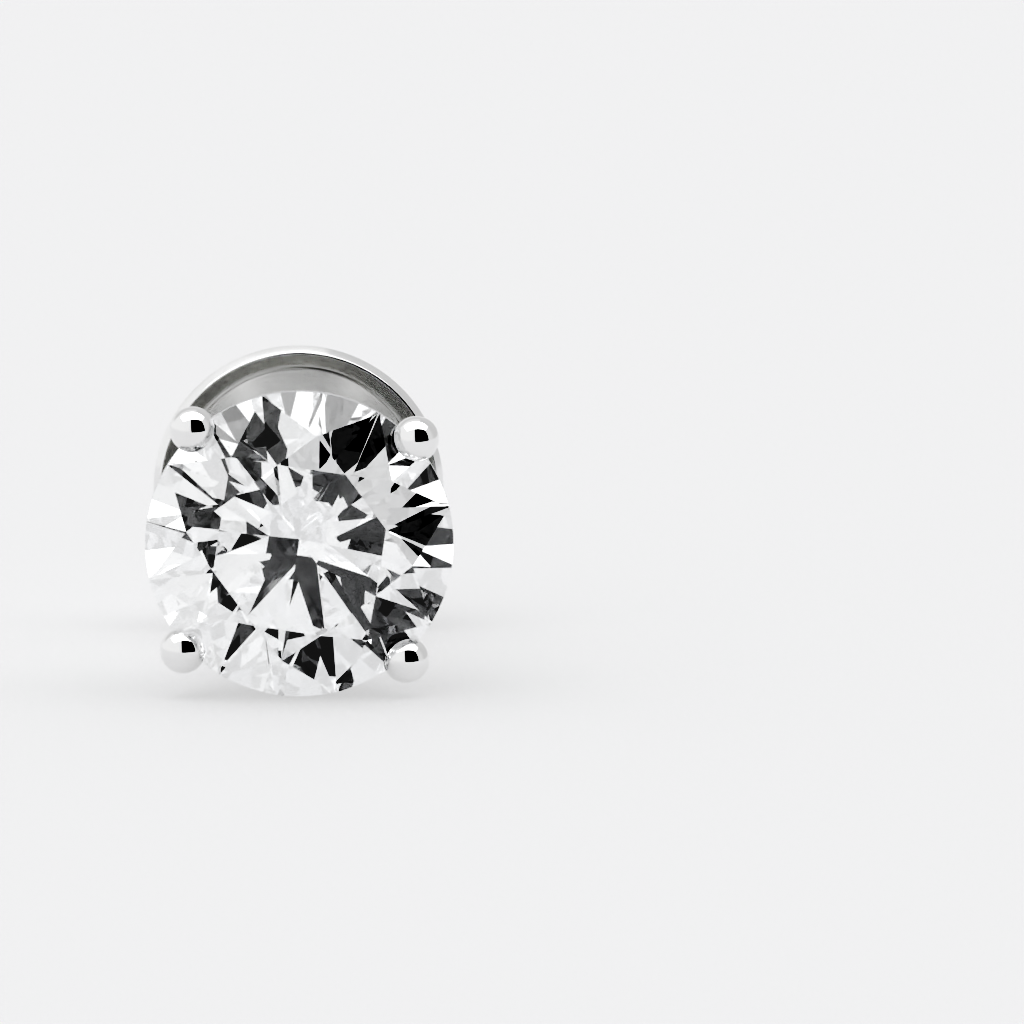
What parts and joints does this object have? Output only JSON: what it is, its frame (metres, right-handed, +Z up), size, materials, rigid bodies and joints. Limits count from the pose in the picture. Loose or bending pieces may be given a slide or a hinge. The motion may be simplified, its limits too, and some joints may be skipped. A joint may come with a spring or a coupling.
{
  "type": "stud earring",
  "caption": "Stud earring with a round brilliant-cut clear stone in ball-tipped claws, a straight post and a sliding friction back with a round dish.",
  "frame": {"origin": "middle of the object's box, on the surface that it rests on", "axes": "+Z up; the stone faces -Y and the post points to +Y, a little downwards, as the earring lies; +X is to the right of someone who faces the stone"},
  "size_m": [0.0064, 0.0146, 0.0065],
  "materials": {
    "stone": "polished",
    "setting_metal": "polished",
    "back_metal": "polished"
  },
  "bodies": {
    "stud": {"stone": "stone", "setting": "setting_metal"},
    "back": {"ear_back": "back_metal"}
  },
  "joints": [
    {"name": "back_slide", "type": "slide", "parent": "stud", "child": "back", "axis": [0, 0.9999, -0.0163], "range_m": [-0.0044, 0.00525]}
  ]
}
